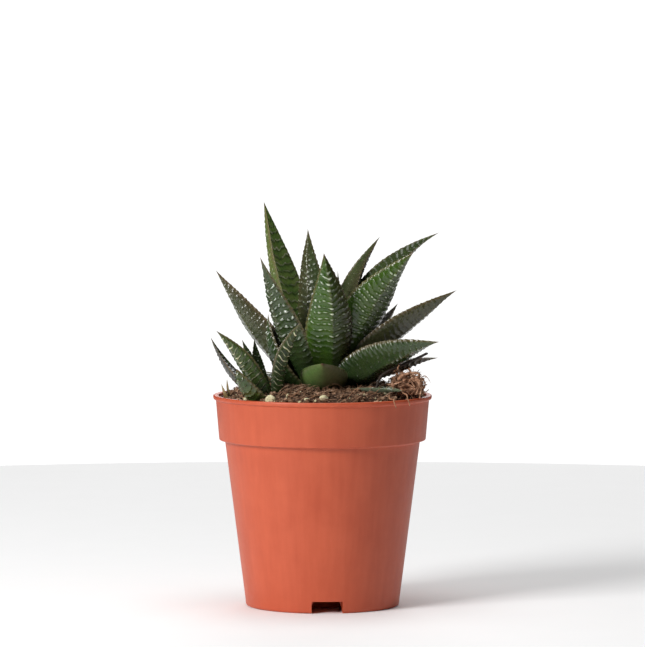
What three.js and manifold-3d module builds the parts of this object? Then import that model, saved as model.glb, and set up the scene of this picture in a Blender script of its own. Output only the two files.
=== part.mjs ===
// A potted haworthia: a plastic nursery pot filled with peat, a rosette of thick tapering
// leaves on a short stem, an offset rosette beside it, the first spikes of a pup, a withered
// leaf, a clump of dry roots with loose rootlets, and a few grains of perlite.
// Millimetres, +Z up. The origin is on the pot's axis, in the plane that the pot stands on.
import * as THREE from "three";
import { mergeVertices } from "three/addons/utils/BufferGeometryUtils.js";
import Module from "manifold-3d";

const wasm = await Module();
wasm.setup();

// ---------------------------------------------------------------- driving dimensions

const GAP = 0.3; // clearance kept between pieces that touch
const SLIVER = 0.01; // detail finer than this is cleared away after a cut

const pot = {
  height: 82,
  wall: 1.0,
  segments: 48,
};

const lip = {
  radius: 42.5,
  height: 1.5,
  overhang: 1.1, // how far it stands out from the collar
};

// The stacking collar below the lip.
const collar = {
  height: 17.4, // down to its lower edge, from the pot's top
  taper: 1.3, // how much smaller its radius is at the lower edge
  step: 2.2, // how far it stands out from the wall below it
};

const foot = {
  radius: 29.8, // outside of the wall where it turns into the foot
  rounding: 2.0,
  width: 2.4, // of the flat ring that the pot stands on
  padRadius: 11, // central flat pad, level with the ring
};

const floor = {
  rise: 4.6, // underside of the raised floor between the ring and the pad
  thickness: 1.2,
  slope: 2.0, // how far the pad's flank leans outwards
};

const notch = { count: 3, width: 12, height: 4.7, firstAngle: -86.5 };
const drain = { count: 6, radius: 2.2, ring: 18.5 };

// Peat heaped up a little above the lip.
const soil = {
  edge: -0.8, // height at the wall, from the pot's top
  shoulder: 2.2, // height at three quarters of the mouth's radius
  crown: 4.4, // height in the middle
  lumps: 0.35,
  rings: 9,
  segments: 36,
};

// The plant is laid out for a mouth of this radius. It grows and shrinks with the pot's mouth.
const LAYOUT_MOUTH = 40.4;

// Stems, from the middle of the mouth: x, y, and the heights of both ends.
const mainStem = { x: 1, y: 1, radius: 4.6, topRadius: 2.4, bottom: -22, top: 17 };
const offsetStem = { x: -19.5, y: -19.5, radius: 2.6, topRadius: 1.4, bottom: -12, top: 3 };
const pupBase = { x: -35, y: -10, radius: 0.5 };

// Each leaf runs from its stem to its tip along one bowed line.
//   tip      the tip, from the middle of the mouth
//   from     height at which the leaf's line leaves the stem, above the mouth
//   width    greatest width
//   thick    greatest depth of the keeled underside, below the margins
//   bow      how far the middle lies off the straight line, as a share of the length:
//            above 0 the tip curls outwards, below 0 it curls inwards
//   sway     the same, sideways
//   roll     turn about the leaf's own line, in degrees
//   sharp    how hollow the sides run into the tip: 1 is blunt, 1.4 is drawn out
//   channel  depth of the hollow upper face, as a share of the half width
//   keel     how sharp the ridge along the underside is: 0 is round
//   dark     an old leaf, browned by the sun
// Inner leaves come first, because each leaf is trimmed by those before it.
const usual = { bow: 0, sway: 0, roll: 0, sharp: 1.2, channel: 0.15, keel: 0.4 };

const mainLeaves = [
  { tip: [-5.7, 4, 64.3], from: 12, width: 12.5, thick: 4, roll: 85 },
  { tip: [22.5, 14, 60.8], from: 14, width: 12, thick: 4, bow: 0.1 },
  { tip: [5.9, 1, 48.3], from: 13, width: 5.5, thick: 2.2 },
  { tip: [-23.1, 27, 74], from: 8, width: 19, thick: 8.5, bow: 0.01, roll: 20, channel: 0.3 },
  {
    tip: [0.5, -24, 56.2], from: 4, width: 18.5, thick: 6,
    bow: -0.02, sway: 0.03, roll: 18, sharp: 1.15,
  },
  { tip: [45.4, 4, 62.8], from: 9, width: 16, thick: 5, bow: 0.14, roll: 25 },
  { tip: [35.2, -16, 56.2], from: 6, width: 19, thick: 6, bow: 0.08, roll: -40 },
  { tip: [-24, -20, 54.6], from: 1, width: 16, thick: 5.5, sharp: 1.3 },
  { tip: [-8, 37, 42], from: 8, width: 15, thick: 5.5 },
  { tip: [52, -4, 40.8], from: 5, width: 16, thick: 5.5, bow: 0.05, roll: -30, dark: true },
  { tip: [-41.4, 0, 48.4], from: 1, width: 14, thick: 5.5, bow: -0.01, roll: 40 },
  { tip: [29.7, 24, 34.1], from: 6, width: 10.5, thick: 5 },
  { tip: [10, 40, 30], from: 5, width: 15, thick: 5.5, bow: 0.02 },
  { tip: [-22, 32, 26], from: 3, width: 14, thick: 5.5, bow: 0.02 },
  { tip: [44.8, -24, 22.1], from: 1, width: 18, thick: 6, bow: 0.09, roll: -35 },
  { tip: [-20.9, -8, 32], from: 0, width: 10.5, thick: 4, bow: -0.14 },
  { tip: [0, -30, 14.2], from: 3, width: 18, thick: 7, bow: 0.05, sharp: 0.9, keel: 0.05 },
  { tip: [44.9, -6, 14.7], from: 3, width: 13, thick: 5, bow: 0.08, dark: true },
  { tip: [24, 32, 11], from: 2, width: 13, thick: 5, bow: 0.05 },
  { tip: [-6, 40, 10], from: 1, width: 13, thick: 5, bow: 0.06 },
  { tip: [-30, 22, 8], from: 0, width: 12, thick: 5, bow: 0.05 },
  { tip: [30.9, -27, 3.4], from: 0, width: 11, thick: 3.5, bow: 0.06, sharp: 1.0 },
];

const offsetLeaves = [
  { tip: [-8.3, -27, 29.7], from: 2, width: 7.5, thick: 3.4, bow: 0.12, sharp: 1.0 },
  { tip: [-26.3, -14, 22.6], from: 2, width: 6.5, thick: 2.4, bow: -0.04 },
  { tip: [-31.1, -10, 22.1], from: 2, width: 6, thick: 2.4 },
  { tip: [-40.8, -25, 26.5], from: 0, width: 8.5, thick: 3.4, bow: 0.07, roll: 35 },
  { tip: [-43.1, -14, 23.3], from: 0, width: 7.5, thick: 3, bow: -0.06 },
  { tip: [-32.7, -32, 12.3], from: -2, width: 10, thick: 4, bow: -0.05, sharp: 0.9 },
];

const pupLeaves = [
  { tip: [-36.9, -10, 7], from: -1, width: 2.6, thick: 1 },
  { tip: [-39, -12, 5.2], from: -2, width: 2.6, thick: 1, bow: -0.05 },
];

// A thin dried leaf that lies between the two lowest leaves on one side.
const witheredLeaf = {
  points: [
    [20, -17, 2.5],
    [23, -17, 8],
    [30, -15, 12],
    [40.6, -10, 16.5],
  ],
  width: 3.2,
  thick: 0.9,
};

// A clump of dry roots pulled up out of the peat.
const clump = { at: [32.5, -15, 5], size: [14, 11, 9.5], ridges: 0.14 };

// Loose rootlets, from the middle of the mouth.
const rootlets = [
  {
    points: [
      [25, -27.5, 1.6],
      [26, -31.4, 1.0],
      [27.2, -34.2, 0.5],
      [27.8, -34.9, -2.4],
    ],
    thick: 0.7,
  },
  {
    points: [
      [30, -24.5, 3.5],
      [31.5, -27.6, 2.6],
      [32.6, -29.2, 0.8],
      [33.2, -29.8, -1.8],
    ],
    thick: 0.7,
  },
  {
    points: [
      [36, -14, 6],
      [38.4, -14.6, 8],
      [40.4, -15, 7.6],
      [41.6, -15.2, 6],
    ],
    thick: 0.6,
  },
];

// Grains of perlite, half sunk in the peat: place on the mound, and size.
const grains = [
  { x: -19.8, y: -31, size: [4.3, 3.6, 4] },
  { x: -13.5, y: -33, size: [2.2, 2, 1.8] },
  { x: -17, y: -33.8, size: [3, 1.6, 1.8] },
  { x: 0.5, y: -34.5, size: [3.4, 3, 2.8] },
  { x: -29.5, y: -23, size: [2, 2, 1.8] },
  { x: -6, y: -34, size: [2.4, 1.6, 1.2] },
  { x: 20, y: 30, size: [3.2, 2.8, 2.6] },
];

// Blanks for leaves: sides around, and steps along. A narrow leaf takes the small blank.
const leafBlank = { around: 12, along: 9 };
const smallBlank = { around: 8, along: 6, upToWidth: 9 };

// ---------------------------------------------------------------- materials

function plastic(color) {
  return new THREE.MeshStandardMaterial({ color, roughness: 0.42, metalness: 0 });
}

function living(color) {
  return new THREE.MeshStandardMaterial({ color, roughness: 0.38, metalness: 0 });
}

function dry(color) {
  return new THREE.MeshStandardMaterial({ color, roughness: 0.95, metalness: 0 });
}

const materials = {
  pot: plastic("#c35f42"),
  peat: dry("#4a3528"),
  stem: living("#5c6b33"),
  leaf: living("#3c5b33"),
  darkLeaf: living("#3a3d2c"),
  offsetLeaf: living("#4d6a35"),
  pup: living("#8a7a55"),
  withered: dry("#5b4030"),
  roots: dry("#a5683a"),
  perlite: dry("#e6dcc0"),
};

// ---------------------------------------------------------------- solids

const toRadians = THREE.MathUtils.degToRad;

// A closed three.js geometry as a solid that can be cut and joined.
function solidOf(geometry) {
  const bare = geometry.clone();
  bare.deleteAttribute("normal");
  bare.deleteAttribute("uv");
  const merged = mergeVertices(bare, 1e-4);
  const mesh = new wasm.Mesh({
    numProp: 3,
    vertProperties: merged.attributes.position.array,
    triVerts: new Uint32Array(merged.index.array),
  });
  return new wasm.Manifold(mesh);
}

// The largest body of a solid, as a three.js geometry.
function geometryOf(solid) {
  const bodies = solid.simplify(SLIVER).decompose();
  const largest = bodies.reduce((a, b) => (b.volume() > a.volume() ? b : a));
  const mesh = largest.getMesh();
  const geometry = new THREE.BufferGeometry();
  geometry.setAttribute("position", new THREE.BufferAttribute(mesh.vertProperties, 3));
  geometry.setIndex(new THREE.BufferAttribute(mesh.triVerts, 1));
  geometry.computeVertexNormals();
  return geometry;
}

// Moves every vertex of a geometry by a function from its old place to its new place.
function reshape(geometry, move) {
  const position = geometry.attributes.position;
  const point = new THREE.Vector3();
  for (let i = 0; i < position.count; i++) {
    const moved = move(point.fromBufferAttribute(position, i));
    position.setXYZ(i, moved.x, moved.y, moved.z);
  }
  return geometry;
}

// A solid turned about Z from (radius, height) pairs that start and end on the axis.
function turned(pairs, segments) {
  const points = pairs.map(([r, z]) => new THREE.Vector2(r, z));
  return new THREE.LatheGeometry(points, segments).rotateX(Math.PI / 2);
}

// ---------------------------------------------------------------- pot

const collarBottom = pot.height - collar.height;
const collarTopRadius = lip.radius - lip.overhang;
const collarBottomRadius = collarTopRadius - collar.taper;
const wallTopRadius = collarBottomRadius - collar.step;
const mouthRadius = collarTopRadius - pot.wall;
const floorTop = floor.rise + floor.thickness;

// Outside radius of the wall at a height below the collar.
function wallRadius(z) {
  const share = (z - foot.rounding) / (collarBottom - foot.rounding);
  return THREE.MathUtils.lerp(foot.radius, wallTopRadius, share);
}

function footCorner(steps) {
  const corner = [];
  for (let i = 0; i <= steps; i++) {
    const angle = (i / steps) * (Math.PI / 2);
    const r = foot.radius - foot.rounding * (1 - Math.sin(angle));
    corner.push([r, foot.rounding * (1 - Math.cos(angle))]);
  }
  return corner;
}

function potBlank() {
  const lipBottom = pot.height - lip.height;
  const ringInside = foot.radius - foot.rounding - foot.width;
  const inside = wallRadius(floorTop) - pot.wall;
  const pairs = [
    [0, 0],
    [foot.padRadius, 0],
    [foot.padRadius + floor.slope, floor.rise],
    [ringInside - 0.6, floor.rise],
    [ringInside, 0],
    ...footCorner(3),
    [wallTopRadius, collarBottom - 0.6],
    [wallTopRadius + 0.5, collarBottom],
    [collarBottomRadius, collarBottom],
    [collarTopRadius, lipBottom - 0.4],
    [lip.radius - 0.2, lipBottom],
    [lip.radius, lipBottom + 0.4],
    [lip.radius, pot.height - 0.5],
    [lip.radius - 0.5, pot.height],
    [mouthRadius + 0.3, pot.height],
    [mouthRadius, pot.height - 0.4],
    [collarBottomRadius - pot.wall, collarBottom + pot.wall],
    [wallTopRadius - pot.wall, collarBottom],
    [inside, floorTop],
    [foot.padRadius + floor.slope - pot.wall, floorTop],
    [foot.padRadius - pot.wall, floor.thickness],
    [0, floor.thickness],
  ];
  return turned(pairs, pot.segments);
}

// The blank with notches cut through its foot, and drain holes through its raised floor.
function potGeometry() {
  let solid = solidOf(potBlank());
  const reach = foot.rounding + foot.width + 1;
  for (let i = 0; i < notch.count; i++) {
    const cutter = new THREE.BoxGeometry(2 * reach, notch.width, 2 * notch.height);
    cutter.translate(foot.radius, 0, 0);
    cutter.rotateZ(toRadians(notch.firstAngle + (360 / notch.count) * i));
    solid = solid.subtract(solidOf(cutter));
  }
  for (let i = 0; i < drain.count; i++) {
    const hole = new THREE.CylinderGeometry(drain.radius, drain.radius, 2 * floorTop, 12);
    hole.rotateX(Math.PI / 2);
    hole.translate(drain.ring, 0, floorTop);
    hole.rotateZ(toRadians((360 / drain.count) * (i + 0.5)));
    solid = solid.subtract(solidOf(hole));
  }
  return geometryOf(solid);
}

// ---------------------------------------------------------------- places in the mouth

const fit = mouthRadius / LAYOUT_MOUTH;

// A place measured from the middle of the pot's mouth.
function inMouth(x, y, z) {
  return new THREE.Vector3(x * fit, y * fit, pot.height + z * fit);
}

// Height of the peat at a distance from the pot's axis.
function peatHeight(x, y) {
  const share = Math.min(Math.hypot(x, y) / mouthRadius, 1);
  const dome = THREE.MathUtils.lerp(soil.crown, soil.shoulder, Math.min(share / 0.75, 1));
  const fall = THREE.MathUtils.smoothstep(share, 0.72, 1);
  const lumps = soil.lumps * Math.sin(0.55 * x + 1) * Math.sin(0.5 * y) * (1 - fall);
  return pot.height + THREE.MathUtils.lerp(dome, soil.edge, fall) + lumps;
}

// ---------------------------------------------------------------- plant

function stemSolid(stem, grow = 0) {
  const length = (stem.top - stem.bottom) * fit + 2 * grow;
  const top = stem.topRadius * fit + grow;
  const bottom = stem.radius * fit + grow;
  const middle = inMouth(stem.x, stem.y, (stem.top + stem.bottom) / 2);
  const blank = new THREE.CylinderGeometry(top, bottom, length, 12).rotateX(Math.PI / 2);
  return solidOf(blank.translate(middle.x, middle.y, middle.z));
}

// Half width along a leaf, as a share of the greatest: 0 along is its base, 1 is its tip.
function outline(along, sharp) {
  const widest = 0.4;
  if (along <= widest) return 1 - 0.15 * ((widest - along) / widest) ** 2;
  const left = (1 - along) / (1 - widest);
  return Math.sin((Math.PI / 2) * left) ** sharp;
}

// A leaf's own line, from inside its stem to its tip, and the way that its upper face looks.
function leafLine(leaf, stem) {
  const root = inMouth(stem.x, stem.y, leaf.from);
  const tip = inMouth(...leaf.tip);
  const away = new THREE.Vector3(tip.x - root.x, tip.y - root.y, 0).normalize();
  root.addScaledVector(away, 0.8 * stem.radius * fit);
  const chord = tip.clone().sub(root);
  const side = new THREE.Vector3(-chord.y, chord.x, 0).normalize();
  const upper = chord.clone().normalize().cross(side);
  const middle = root.clone().lerp(tip, 0.5);
  middle.addScaledVector(upper, 2 * leaf.bow * chord.length());
  middle.addScaledVector(side, 2 * leaf.sway * chord.length());
  return { curve: new THREE.QuadraticBezierCurve3(root, middle, tip), upper };
}

// A leaf as a solid. A grown copy has every face moved outwards, and no hollow in it.
function leafSolid(row, stem, grow = 0) {
  const leaf = { ...usual, ...row };
  const channel = grow > 0 ? 0 : leaf.channel;
  const { curve, upper } = leafLine(leaf, stem);
  const halfWidth = (leaf.width / 2) * fit;
  const { around, along } = leaf.width <= smallBlank.upToWidth ? smallBlank : leafBlank;
  const blank = new THREE.ConeGeometry(1, 1, around, along);
  reshape(blank, (point) => {
    const share = point.y + 0.5;
    const atTip = share > 0.999;
    const rim = atTip ? 0 : Math.min(Math.hypot(point.x, point.z) / (1 - share), 1);
    const angle = Math.atan2(point.z, point.x);
    const sine = Math.sin(angle);
    const swell = outline(share, leaf.sharp);
    const across = (halfWidth * swell + grow) * Math.cos(angle);
    const keeled = (1 - leaf.keel) * -sine + leaf.keel * (1 - Math.abs(Math.cos(angle)));
    const below = -leaf.thick * fit * swell ** 0.85 * keeled + grow * sine;
    const hollow = -channel * halfWidth * swell * sine + grow * sine;
    const tangent = curve.getTangent(share);
    const normal = upper.clone().addScaledVector(tangent, -upper.dot(tangent)).normalize();
    normal.applyAxisAngle(tangent, toRadians(leaf.roll));
    const moved = curve.getPoint(share);
    moved.addScaledVector(tangent.clone().cross(normal), rim * across);
    moved.addScaledVector(normal, rim * (sine < 0 ? below : hollow));
    moved.addScaledVector(tangent, atTip ? grow : share < 0.001 ? -grow : 0);
    if (share < 0.001 && rim < 0.5) moved.addScaledVector(tangent, -0.4 * halfWidth);
    return moved;
  });
  return solidOf(blank);
}

// A rounded strand along chosen points: a rootlet, or the flat withered leaf.
function strandSolid({ points, width, thick }, grow = 0) {
  const curve = new THREE.CatmullRomCurve3(points.map((p) => inMouth(...p)));
  const blank = new THREE.CylinderGeometry(1, 1, 1, 8, 10);
  const up = new THREE.Vector3(0, 0, 1);
  const halfWidth = ((width ?? thick) / 2) * fit + grow;
  const halfThick = (thick / 2) * fit + grow;
  reshape(blank, (point) => {
    const share = point.y + 0.5;
    const taper = 0.35 + 0.65 * Math.sin(Math.PI * (0.15 + 0.7 * share));
    const tangent = curve.getTangent(share);
    const side = tangent.clone().cross(up).normalize();
    const normal = side.clone().cross(tangent);
    const moved = curve.getPoint(share);
    moved.addScaledVector(side, point.x * halfWidth * taper);
    return moved.addScaledVector(normal, point.z * halfThick * taper);
  });
  return solidOf(blank);
}

function clumpSolid(grow = 0) {
  const middle = inMouth(...clump.at);
  const [sx, sy, sz] = clump.size.map((size) => (size / 2) * fit + grow);
  const blank = new THREE.IcosahedronGeometry(1, 4);
  reshape(blank, (point) => {
    const wave = Math.sin(5 * point.x + 2) * Math.sin(4 * point.y) * Math.sin(6 * point.z + 1);
    const swell = 1 + clump.ridges * wave;
    return point.set(point.x * sx, point.y * sy, point.z * sz).multiplyScalar(swell).add(middle);
  });
  return solidOf(blank);
}

function grainSolid(grain, grow = 0) {
  const middle = inMouth(grain.x, grain.y, 0);
  const [sx, sy, sz] = grain.size.map((size) => (size / 2) * fit + grow);
  middle.z = peatHeight(middle.x, middle.y) + 0.2 * sz;
  const blank = new THREE.IcosahedronGeometry(1, 1).rotateZ(grain.x);
  return solidOf(blank.scale(sx, sy, sz).translate(middle.x, middle.y, middle.z));
}

// ---------------------------------------------------------------- assembly

const group = new THREE.Group();
group.name = "potted_haworthia";

// Grown copies of the pieces so far: the next piece is cut clear of them.
const taken = [];

function place(name, geometry, material) {
  const mesh = new THREE.Mesh(geometry, material);
  mesh.name = name;
  group.add(mesh);
}

// Adds a piece trimmed by those before it. The function makes the piece, or a grown copy.
function addTrimmed(name, solidAt, material) {
  const trimmed = solidAt(0).subtract(wasm.Manifold.union(taken));
  place(name, geometryOf(trimmed), material);
  taken.push(solidAt(GAP));
}

function peatSolid() {
  const pairs = [
    [0, floor.thickness + GAP],
    [foot.padRadius - pot.wall - GAP, floor.thickness + GAP],
    [foot.padRadius + floor.slope - pot.wall - GAP, floorTop + GAP],
    [wallRadius(floorTop) - pot.wall - GAP, floorTop + GAP],
    [wallTopRadius - pot.wall - GAP, collarBottom],
    [collarBottomRadius - pot.wall - GAP, collarBottom + pot.wall + GAP],
  ];
  for (let i = soil.rings; i >= 0; i--) {
    pairs.push([(mouthRadius - 2 * GAP) * (i / soil.rings), pot.height]);
  }
  const blank = turned(pairs, soil.segments);
  return solidOf(
    reshape(blank, (point) => {
      const onTop = point.z > pot.height - 0.01;
      return point.setZ(onTop ? peatHeight(point.x, point.y) : point.z);
    }),
  );
}

const pad = (number) => String(number).padStart(2, "0");

addTrimmed("main_stem", (grow) => stemSolid(mainStem, grow), materials.stem);
addTrimmed("offset_stem", (grow) => stemSolid(offsetStem, grow), materials.stem);
mainLeaves.forEach((leaf, i) => {
  const material = leaf.dark ? materials.darkLeaf : materials.leaf;
  addTrimmed(`leaf_${pad(i + 1)}`, (grow) => leafSolid(leaf, mainStem, grow), material);
});
offsetLeaves.forEach((leaf, i) => {
  const solidAt = (grow) => leafSolid(leaf, offsetStem, grow);
  addTrimmed(`offset_leaf_${i + 1}`, solidAt, materials.offsetLeaf);
});
pupLeaves.forEach((leaf, i) => {
  addTrimmed(`pup_leaf_${i + 1}`, (grow) => leafSolid(leaf, pupBase, grow), materials.pup);
});
addTrimmed("withered_leaf", (grow) => strandSolid(witheredLeaf, grow), materials.withered);
addTrimmed("root_clump", clumpSolid, materials.roots);
rootlets.forEach((rootlet, i) => {
  addTrimmed(`rootlet_${i + 1}`, (grow) => strandSolid(rootlet, grow), materials.roots);
});
grains.forEach((grain, i) => {
  addTrimmed(`perlite_${i + 1}`, (grow) => grainSolid(grain, grow), materials.perlite);
});
addTrimmed("soil", peatSolid, materials.peat);

place("pot", potGeometry(), materials.pot);

export default group;
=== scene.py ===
"""A potted haworthia: living rosette, offset and pup in a moulded nursery pot of peat.
Sizes are in millimetres, measured from the pot's axis and foot, and turned to metres last."""
import math
import random

import bpy
import numpy as np
from mathutils import Matrix, Vector, noise


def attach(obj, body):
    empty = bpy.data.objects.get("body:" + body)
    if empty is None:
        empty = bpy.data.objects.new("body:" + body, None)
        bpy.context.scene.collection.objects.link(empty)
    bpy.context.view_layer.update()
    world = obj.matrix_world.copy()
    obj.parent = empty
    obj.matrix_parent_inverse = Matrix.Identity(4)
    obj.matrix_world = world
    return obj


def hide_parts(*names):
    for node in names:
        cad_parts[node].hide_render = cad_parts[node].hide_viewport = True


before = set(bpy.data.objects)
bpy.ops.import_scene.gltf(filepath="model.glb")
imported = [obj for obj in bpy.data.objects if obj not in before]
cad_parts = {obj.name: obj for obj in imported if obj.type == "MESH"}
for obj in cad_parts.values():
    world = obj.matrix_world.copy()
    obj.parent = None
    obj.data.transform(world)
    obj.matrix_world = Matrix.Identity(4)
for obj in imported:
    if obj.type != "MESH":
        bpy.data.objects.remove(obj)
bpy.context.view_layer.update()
MM = 0.001

# ---------------------------------------------------------------- sizes of the real thing

POT_TOP = 82.0
MOUTH = 40.4
FOOT = 29.8
# the peat mound above the lip: at the middle, at three quarters of the way out, at the wall
CROWN, SHOULDER, SETTLED = 4.4, 2.2, -0.8
MAIN_STEM = dict(x=1.0, y=1.0, radius=4.6)
OFFSET_STEM = dict(x=-19.5, y=-19.5, radius=2.6)
PUP_BASE = dict(x=-35.0, y=-10.0, radius=0.5)

# Each leaf: its tip from the middle of the mouth, the height at which it leaves its stem, and
# its greatest width and depth. bow and sway bend it out of line, roll turns it about that
# line, sharp narrows its tip, and keel and channel shape its underside and its upper face.
# Then its finish: the skin it wears, how brown the sun has made its upper face and its
# underside, lean for painted shade, as more of that brown on the one side that is in shade,
# and the pattern on each face. rows is the space between rows of tubercles, relief is how far
# they stand up, pale is how white they are, painted highlight included, and a fine leaf,
# towards the front, has a closer mesh.
MAIN_LEAVES = [
    dict(tip=(-5.7, 4, 64.3), start=12, width=12.5, thick=4, roll=85, skin="olive",
         sun=(0.5, 0.35), lean=0.4, upper="dots", under="dots"),
    dict(tip=(22.5, 14, 60.8), start=14, width=12, thick=4, bow=0.1, skin="olive",
         sun=(0.45, 0.45), lean=0.3, upper="dots", under="dots", pale=0.6),
    dict(tip=(5.9, 1, 48.3), start=13, width=5.5, thick=2.2, skin="deep",
         sun=(0.2, 0.3), upper="dots", under="dots"),
    dict(tip=(-23.1, 27, 74), start=8, width=19, thick=8.5, bow=0.01, roll=20, channel=0.3,
         skin="banded", sun=(0.1, 0.5), upper="bands", under="dots", relief=0.42, fine=True),
    dict(tip=(0.5, -24, 56.2), start=4, width=18.5, thick=6, bow=-0.02, sway=0.03, sharp=1.15,
         roll=18, skin="fresh", sun=(0.3, 0.2), lean=-0.75, upper="dots", under="dashes",
         fine=True),
    dict(tip=(45.4, 4, 62.8), start=9, width=16, thick=5, bow=0.14, roll=25, skin="deep",
         sun=(0.35, 0.4), upper="ribs", under="dots", fine=True),
    dict(tip=(35.2, -16, 56.2), start=6, width=19, thick=6, bow=0.08, roll=-40, skin="fresh",
         sun=(0.3, 0.25), lean=-0.25, upper="dots", under="dots", relief=0.62, fine=True),
    dict(tip=(-24, -20, 54.6), start=1, width=16, thick=5.5, sharp=1.3, skin="deep",
         sun=(0.3, 0.15), upper="dots", under="dashes", rows=2.75, relief=0.7, fine=True),
    dict(tip=(-8, 37, 42), start=8, width=15, thick=5.5, skin="deep",
         sun=(0.3, 0.3), upper="ribs", under="dashes"),
    dict(tip=(52, -4, 40.8), start=5, width=16, thick=5.5, bow=0.05, roll=-30, skin="olive",
         sun=(0.8, 0.6), upper="ribs", under="dots", pale=0.45, relief=0.36, fine=True),
    dict(tip=(-41.4, 0, 48.4), start=1, width=14, thick=5.5, bow=-0.01, roll=40, skin="olive",
         sun=(0.5, 0.25), lean=-0.5, upper="dots", under="dots", pale=0.3, relief=0.32,
         fine=True),
    dict(tip=(29.7, 24, 34.1), start=6, width=10.5, thick=5, skin="dark",
         sun=(0.7, 0.7), upper="dots", under="dots"),
    dict(tip=(10, 40, 30), start=5, width=15, thick=5.5, bow=0.02, skin="olive",
         sun=(0.3, 0.4), upper="ribs", under="dashes"),
    dict(tip=(-22, 32, 26), start=3, width=14, thick=5.5, bow=0.02, skin="deep",
         sun=(0.3, 0.3), upper="ribs", under="dots"),
    dict(tip=(44.8, -24, 22.1), start=1, width=18, thick=6, bow=0.09, roll=-35, skin="deep",
         sun=(0.1, 0.1), upper="ribs", under="comb", fine=True),
    dict(tip=(-20.9, -8, 32), start=0, width=10.5, thick=4, bow=-0.14, skin="deep",
         sun=(0.15, 0.0), upper="dots", under="dots"),
    dict(tip=(0, -30, 14.2), start=3, width=18, thick=7, bow=0.05, sharp=0.9, keel=0.05,
         skin="blunt", sun=(0.35, 0.35), lean=-0.45, upper="plain", under="plain", fine=True),
    dict(tip=(44.9, -6, 14.7), start=3, width=13, thick=5, bow=0.08, skin="dark",
         sun=(0.4, 0.3), upper="ribs", under="dashes", fine=True),
    dict(tip=(24, 32, 11), start=2, width=13, thick=5, bow=0.05, skin="deep",
         sun=(0.3, 0.5), upper="ribs", under="dots"),
    dict(tip=(-6, 40, 10), start=1, width=13, thick=5, bow=0.06, skin="olive",
         sun=(0.4, 0.5), upper="ribs", under="dots"),
    dict(tip=(-30, 22, 8), start=0, width=12, thick=5, bow=0.05, skin="deep",
         sun=(0.3, 0.4), upper="ribs", under="dots"),
    dict(tip=(30.9, -27, 3.4), start=0, width=11, thick=3.5, bow=0.06, sharp=1.0,
         skin="grey", sun=(0.1, 0.1), upper="plain", under="plain"),
]
OFFSET_LEAVES = [
    dict(tip=(-8.3, -27, 29.7), start=2, width=7.5, thick=3.4, bow=0.12, sharp=1.0,
         skin="young", sun=(0.1, 0.1), upper="bands", under="bands"),
    dict(tip=(-26.3, -14, 22.6), start=2, width=6.5, thick=2.4, bow=-0.04, skin="deep",
         sun=(0.2, 0.2), upper="dots", under="dots"),
    dict(tip=(-31.1, -10, 22.1), start=2, width=6, thick=2.4, skin="deep",
         sun=(0.2, 0.3), upper="dots", under="dots"),
    dict(tip=(-40.8, -25, 26.5), start=0, width=8.5, thick=3.4, bow=0.07, roll=35,
         skin="young", sun=(0.1, 0.1), upper="bands", under="bands"),
    dict(tip=(-43.1, -14, 23.3), start=0, width=7.5, thick=3, bow=-0.06, skin="dark",
         sun=(0.3, 0.2), upper="dots", under="dots"),
    dict(tip=(-32.7, -32, 12.3), start=-2, width=10, thick=4, bow=-0.05, sharp=0.9,
         skin="young", sun=(0.1, 0.05), upper="dots", under="dots", pale=0.5, relief=0.55),
]
PUP_LEAVES = [
    dict(tip=(-36.9, -10, 7), start=-1, width=2.6, thick=1, skin="pup", sun=(0.6, 0.6),
         upper="plain", under="plain", relief=0.05),
    dict(tip=(-39, -12, 5.2), start=-2, width=2.6, thick=1, bow=-0.05, skin="pup",
         sun=(0.6, 0.6), upper="plain", under="plain", relief=0.05),
]

# Perlite, half sunk in the peat: the place of each grain, and its size.
GRAINS = [
    (-19.8, -31.0, (4.3, 3.6, 4.0)), (-13.5, -33.0, (2.2, 2.0, 1.8)),
    (-17.0, -33.8, (3.0, 1.6, 1.8)), (0.5, -34.5, (3.4, 3.0, 2.8)),
    (-29.5, -23.0, (2.0, 2.0, 1.8)), (-6.0, -34.0, (2.4, 1.6, 1.2)),
    (20.0, 30.0, (3.2, 2.8, 2.6)),
]
# The knot of dead roots: its middle, its size, and how far towards the lip a root may reach.
CLUMP_AT = (32.5, -15.0, 5.0)
CLUMP_SIZE = (14.0, 11.0, 9.5)
CLUMP_LIMIT = 41.5
# Places that the withered leaf and each loose root pass through, and the root's thickness.
WITHERED = [(20, -17, 2.5), (23, -17, 8), (30, -15, 12), (40.6, -10, 16.5)]
ROOTLETS = [
    ([(25, -27.5, 1.6), (26, -31.4, 1.0), (27.2, -34.2, 0.5), (27.8, -34.9, -2.4)], 0.7),
    ([(30, -24.5, 3.5), (31.5, -27.6, 2.6), (32.6, -29.2, 0.8), (33.2, -29.8, -1.8)], 0.7),
    ([(36, -14, 6), (38.4, -14.6, 8), (40.4, -15, 7.6), (41.6, -15.2, 6)], 0.6),
]

# ---------------------------------------------------------------- bench tools


def rest_hands():
    """Leaves edit mode and lets go of everything."""
    if bpy.context.object and bpy.context.object.mode != "OBJECT":
        bpy.ops.object.mode_set(mode="OBJECT")
    bpy.ops.object.select_all(action="DESELECT")


def take_up(piece):
    """Holds one piece and nothing else."""
    rest_hands()
    piece.select_set(True)
    bpy.context.view_layer.objects.active = piece


def started(name):
    """The primitive just added, under its own name."""
    piece = bpy.context.object
    piece.name = name
    piece.data.name = name
    return piece


def points_of(piece):
    """The mesh's points, one row each."""
    flat = np.empty(len(piece.data.vertices) * 3)
    piece.data.vertices.foreach_get("co", flat)
    return flat.reshape(-1, 3)


def set_points(piece, points):
    """Moves the mesh's points to new places."""
    piece.data.vertices.foreach_set("co", np.asarray(points, dtype=float).ravel())
    piece.data.update()


def seat(piece):
    """Puts the object's place into its mesh."""
    piece.data.transform(piece.matrix_world)
    piece.matrix_world = Matrix.Identity(4)


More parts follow.
